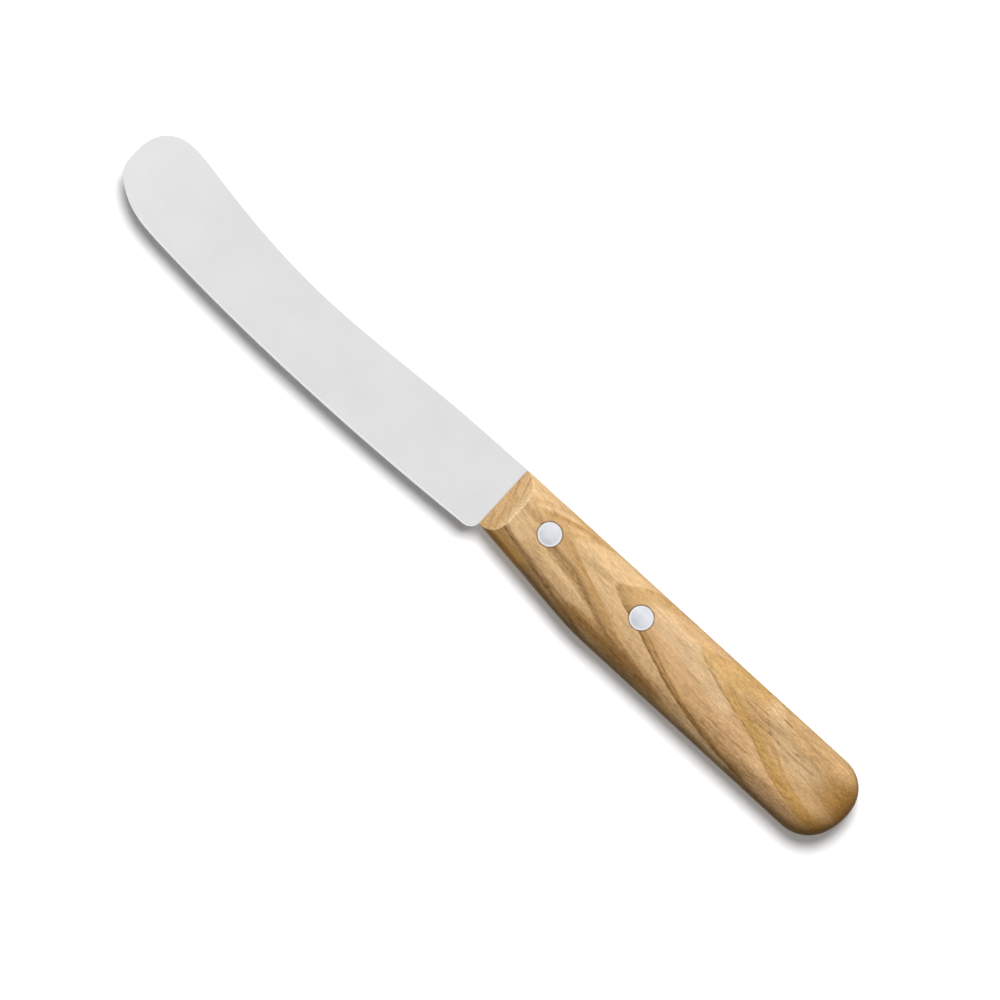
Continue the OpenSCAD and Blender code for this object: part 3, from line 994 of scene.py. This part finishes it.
def front_facet(graph, x, y):
    """Colour of the bevelled front, where the layers are cut across and show as steep streaks. A painted
    highlight makes it paler towards its inner border."""
    close = graph.maths("MULTIPLY", graph.maths("MULTIPLY_ADD", y, FACET_LEAN, x), FACET_STREAKS_PER_MM)
    steep = graph.joined(close, graph.maths("MULTIPLY", y, FACET_BREAKS), 0.0)
    streaks = graph.ramp(graph.noise(steep, 3.0, 0.55), [(0.32, FACET_BROWN), (0.5, TAN), (0.68, PALE)])
    # Painted highlight towards the facet's inner border
    painted_light_share = graph.ranged(x, 0.62 * FRONT_BEVEL_L, 0.92 * FRONT_BEVEL_L, 0.0, 0.55)
    return graph.mixed(painted_light_share, streaks, PALEST_AND_HIGHLIGHT)


class Grain(NamedTuple):
    """Noises of the wood, all but the flecks drawn out along its fibres."""
    streaks: bpy.types.NodeSocket
    threads: bpy.types.NodeSocket
    hairs: bpy.types.NodeSocket
    pores: bpy.types.NodeSocket
    flecks: bpy.types.NodeSocket
    patches: bpy.types.NodeSocket


def wood_grain(graph, point, x, y, z):
    level = graph.maths("MULTIPLY", graph.maths("MULTIPLY", x, x), FIBRE_LEVEL)
    fall = graph.maths("SUBTRACT", graph.maths("MULTIPLY", x, FIBRE_FALL), level)
    wave = graph.maths("MULTIPLY", graph.texture(point, WAVES), WAVE_DEPTH)
    fibre = graph.joined(x, graph.maths("ADD", graph.maths("ADD", y, fall), wave), z)
    return Grain(
        streaks=graph.texture(fibre, STREAKS, 3.0, 0.6),
        threads=graph.texture(fibre, THREADS, 2.0, 0.6),
        hairs=graph.texture(fibre, HAIRS, 2.0, 0.6),
        pores=graph.texture(fibre, PORES, 1.0),
        flecks=graph.texture(point, FLECKS, 1.0),
        patches=graph.texture(fibre, PATCHES),
    )


def wood_figure(graph, point, x, y, z, grain):
    """Place along the growth, and colour, of the figure as it ripples and drifts on the handle."""
    sunk = graph.maths("MAXIMUM", graph.maths("SUBTRACT", HALF_T - ROLL_D, z), 0.0)
    ripple = graph.maths("SUBTRACT", graph.texture(point, RIPPLES, 3.0, 0.6), 0.5)
    rippled = graph.maths("MULTIPLY_ADD", ripple, RIPPLE_DEPTH, y)
    figure_x = graph.maths("MULTIPLY_ADD", sunk, DRIFT_ALONG, x)
    figure_y = graph.maths("MULTIPLY_ADD", sunk, DRIFT_ACROSS, rippled)
    place, colour = figure(graph, figure_x, figure_y, graph.ranged(grain.threads, 0.3, 0.6, 1.0, 0.65))
    grey = graph.ranged(grain.patches, 0.55, 0.75, 0.0, 0.25)
    return place, graph.mixed(grey, colour, GREY_BROWN)


def wood_tone(graph, x, y, place, grain, dashes):
    """How light or dark the grain is, as a factor of the colour, with painted shade round the rivets."""
    layer = graph.joined(
        graph.maths("MULTIPLY", place, LAYERS_PER_MM), graph.maths("MULTIPLY", y, LAYER_BREAKS), 0.0
    )
    tone = graph.ranged(graph.noise(layer, 4.0, 0.6), *NOISE_SPAN, 0.93, 1.06)
    contrasts = [(grain.streaks, 0.11), (grain.threads, 0.11), (grain.hairs, 0.06), (grain.flecks, 0.07)]
    for noise, contrast in contrasts:
        shown = graph.ranged(noise, *NOISE_SPAN, 1 - contrast, 1 + contrast)
        tone = graph.maths("MULTIPLY", tone, shown)
    open_grain = graph.maths("MULTIPLY", dashes, graph.ranged(grain.patches, 0.4, 0.62, 0.15, 1.0))
    tone = graph.maths("MULTIPLY", tone, graph.maths("SUBTRACT", 1.0, open_grain))
    tone = graph.maths("POWER", tone, graph.ranged(x, *GRAIN_CHANGE, FRONT_GRAIN, REAR_GRAIN))
    # Painted shade of the narrow gap round each rivet
    radius = rivet_distance(graph, x, y)
    gap_shade = graph.ranged(radius, HEAD_D / 2, HEAD_D / 2 + GAP_SHADE_W, GAP_SHADE_TONE, 1.0)
    return graph.maths("MULTIPLY", tone, gap_shade)


def bevelled(graph, x, y, normal, colour):
    """The colour, with the bevelled front and a painted highlight along its border."""
    ahead = graph.maths("MULTIPLY", normal[0], -1.0)
    colour = graph.mixed(graph.ranged(ahead, 0.45, 0.6, 0.0, 0.9), colour, front_facet(graph, x, y))
    # Painted highlight along the rounded border between the bevelled front and the flat
    border = graph.ranged(ahead, 0.08, 0.3, 0.0, 0.7)
    border = graph.maths("MULTIPLY", border, graph.ranged(ahead, 0.5, 0.68, 1.0, 0.0))
    return graph.mixed(border, colour, PALEST_AND_HIGHLIGHT)


def darkened(graph, x, y, normal, streaks, colour):
    """The colour, darker towards the butt, with painted shade along the rim and the butt's outline."""
    behind = graph.maths("MULTIPLY_ADD", streaks, BUTT_RIPPLE, x)
    behind = graph.maths("SUBTRACT", behind, graph.ranged(y, *SPINE_STRIP, 0.0, SPINE_SET_BACK))
    beside = graph.maths("ABSOLUTE", graph.maths("ADD", y, STREAK_DROP))
    behind = graph.maths("SUBTRACT", behind, graph.ranged(beside, 0.0, STREAK_HALF, STREAK_SET_BACK, 0.0))
    colour = graph.mixed(graph.ranged(behind, *BUTT_STRETCH, 0.0, 1.0), colour, BUTT_BROWN)
    # Painted shade on the steep rim, weaker along the spine
    upright = graph.maths("ABSOLUTE", normal[2])
    rim = graph.ranged(upright, 0.2, graph.ranged(x, *BUTT_RIM_START, 0.65, 0.78), RIM_SHARE, 0.0)
    painted_rim_shade = graph.ranged(x, *RIM_START, 0.0, 1.0)
    painted_rim_shade = graph.maths("MULTIPLY", painted_rim_shade, graph.ranged(normal[1], 0.2, 0.9, 1.0, SPINE_RIM_SHARE))
    colour = graph.mixed(graph.maths("MULTIPLY", rim, painted_rim_shade), colour, RIM_SHADE_BROWN)
    # Painted shade along the butt's steep outline
    outline = graph.ranged(x, *OUTLINE_START, 0.0, graph.ranged(upright, 0.3, 0.52, OUTLINE_SHARE, 0.0))
    return graph.mixed(outline, colour, OUTLINE_SHADE_BROWN)


def make_wood():
    """Oiled, strongly figured wood."""
    material, graph = new_material("olive_wood")
    point, x, y, z = graph.drawing_point()
    normal = graph.node("SeparateXYZ", {0: graph.node("TexCoord").outputs["Normal"]}).outputs
    grain = wood_grain(graph, point, x, y, z)
    place, colour = wood_figure(graph, point, x, y, z, grain)
    colour = bevelled(graph, x, y, normal, colour)
    colour = darkened(graph, x, y, normal, grain.streaks, colour)
    dashes = graph.ranged(grain.pores, 0.57, 0.72, 0.0, 0.26)
    graph.surface(
        Base_Color=graph.scaled(colour, wood_tone(graph, x, y, place, grain, dashes)),
        Roughness=graph.ranged(grain.streaks, *NOISE_SPAN, 0.42, 0.56),
        Specular_IOR_Level=0.03,
        Normal=graph.bump(graph.maths("SUBTRACT", grain.hairs, dashes), 0.02 * MM, 0.6),
    )
    return material


# Stage

PHOTO_PIXEL = 0.2326
PHOTO_SIZE = 1000
PHOTO_TURN = math.radians(42.41)
# Point of the knife's middle plane at the photograph's middle, from the drawing corner
PHOTO_MIDDLE = (-0.09, -9.51)
LENS = 200
SENSOR = 36


def make_camera():
    """Camera straight above the knife, turned so that the knife lies as in the photograph."""
    data = bpy.data.cameras.new("camera")
    data.lens = LENS
    data.sensor_width = SENSOR
    camera = bpy.data.objects.new("camera", data)
    distance = PHOTO_SIZE * PHOTO_PIXEL * LENS / SENSOR
    camera.location = CORNER + Vector((*PHOTO_MIDDLE, distance)) * MM
    camera.rotation_euler = (0, 0, PHOTO_TURN)
    bpy.context.scene.collection.objects.link(camera)
    bpy.context.scene.camera = camera


def collected(name, objects):
    collection = bpy.data.collections.new(name)
    for obj in objects:
        collection.objects.link(obj)
    return collection


def make_lamp(name, lit, share, turn, height, spread, blockers=None):
    """Soft distant lamp on the objects in lit, at a share of the light that shows a colour as written.
    The turn is from the photograph's upper side towards its right, and the height is above the floor, or
    below it where it is negative. Where there are blockers, nothing else throws a shadow in its light."""
    data = bpy.data.lights.new(name, "SUN")
    data.energy = share * math.pi / abs(math.sin(math.radians(height)))
    data.angle = math.radians(spread)
    lamp = bpy.data.objects.new(name, data)
    lamp.rotation_euler = (math.radians(90 - height), 0, math.pi + PHOTO_TURN - math.radians(turn))
    lamp.visible_glossy = False
    bpy.context.scene.collection.objects.link(lamp)
    lamp.light_linking.receiver_collection = collected(name + "_lit", lit)
    if blockers:
        lamp.light_linking.blocker_collection = collected(name + "_blocked", blockers)


def seen_directly(graph):
    """1 for what the camera, a mirror or glass sees, and 0 for what lights the scene."""
    path = graph.node("LightPath").outputs
    mirrored = graph.maths("MAXIMUM", path["Is Glossy Ray"], path["Is Transmission Ray"])
    return graph.maths("MAXIMUM", path["Is Camera Ray"], mirrored)


def make_world(share):
    """White all round, at full strength to the eye and at a share of it as light."""
    world = bpy.data.worlds.new("studio")
    bpy.context.scene.world = world
    graph = Graph(world)
    strength = graph.node("MapRange", {0: seen_directly(graph), 3: share, 4: 1.0}).outputs[0]
    sky = graph.node("Background", {"Color": (1, 1, 1, 1), "Strength": strength})
    graph.node("OutputWorld", {"Surface": sky.outputs[0]})


FLOOR_HALF = 3000
FLOOR_GAP = 0.02
FLOOR_WHITE = 0.95
FLOOR_GREY = 0.17
# Glow of the floor under the blade and under the handle, and the stretch over which it changes
BLADE_GLOW = 0.06
HANDLE_GLOW = 0.165
GLOW_CHANGE = (-4, 4)
# The front floor, which shows the shadow of the steel, is scattered away over the rear one here
FLOOR_FADE = (34, 46)


def make_floor(name, gap, fades=False):
    """Floor that is white to the eye, glowing a little, and throws only a grey's share of light back.
    It is clear from below, and behind the middle of the handle if it fades."""
    height = -HALF_T - gap
    corners = [(-1, -1), (1, -1), (1, 1), (-1, 1)]
    points = [(x * FLOOR_HALF, y * FLOOR_HALF, height) for x, y in corners]
    floor = make_mesh(name, points, [(0, 1, 2, 3)])
    material, graph = new_material(name)
    seen = seen_directly(graph)
    level = graph.node("MapRange", {0: seen, 3: FLOOR_GREY, 4: FLOOR_WHITE}).outputs[0]
    point, x, y, z = graph.drawing_point()
    glow = graph.ranged(x, *GLOW_CHANGE, BLADE_GLOW, HANDLE_GLOW)
    matt = graph.node("BsdfDiffuse", {"Color": level})
    light = graph.node("Emission", {"Strength": graph.maths("MULTIPLY", seen, glow)})
    both = graph.node("AddShader", {0: matt.outputs[0], 1: light.outputs[0]})
    clear = graph.node("BsdfTransparent")
    cleared = graph.node("NewGeometry").outputs["Backfacing"]
    if fades:
        grain = graph.node("TexWhiteNoise", {"Vector": point}).outputs["Value"]
        ended = graph.maths("GREATER_THAN", graph.ranged(x, *FLOOR_FADE, 0.0, 1.0), grain)
        cleared = graph.maths("MAXIMUM", cleared, ended)
    shader = graph.node("MixShader", {0: cleared, 1: both.outputs[0], 2: clear.outputs[0]})
    graph.node("OutputMaterial", {"Surface": shader.outputs[0]})
    floor.data.materials.append(material)
    return floor


pieces = [
    make_blade(
        make_steel("blade_steel", (221, 221, 221), (232, 232, 232), smoothest=0.28, roughest=0.36),
        make_steel("honed_steel", (229, 229, 229), (236, 236, 236), smoothest=0.2, roughest=0.26),
    ),
    make_handle(make_wood()),
]
rivet_metal = make_rivet_metal()
for end, spot in zip(("front", "rear"), RIVETS):
    pieces.append(make_rivet(f"knife_{end}_rivet", f"{end}_rivet", spot, rivet_metal))
front_floor = make_floor("front_floor", FLOOR_GAP, True)
rear_floor = make_floor("rear_floor", 2 * FLOOR_GAP)

make_camera()
make_world(share=0.13)
# The knife is lit from its spine, and its shadow falls down the picture. The handle and the rivets are lit
# from below as well
make_lamp("key", pieces, share=0.87, turn=14, height=51, spread=24)
make_lamp("underside", pieces[1:], share=0.4, turn=14, height=-75, spread=40, blockers=pieces)
make_lamp("front_shadow", [front_floor], share=1.08, turn=30, height=62.3, spread=35, blockers=pieces[:1])
make_lamp("rear_shadow", [rear_floor], share=1.06, turn=2, height=62, spread=30, blockers=pieces)
bpy.context.scene.view_settings.view_transform = "Standard"
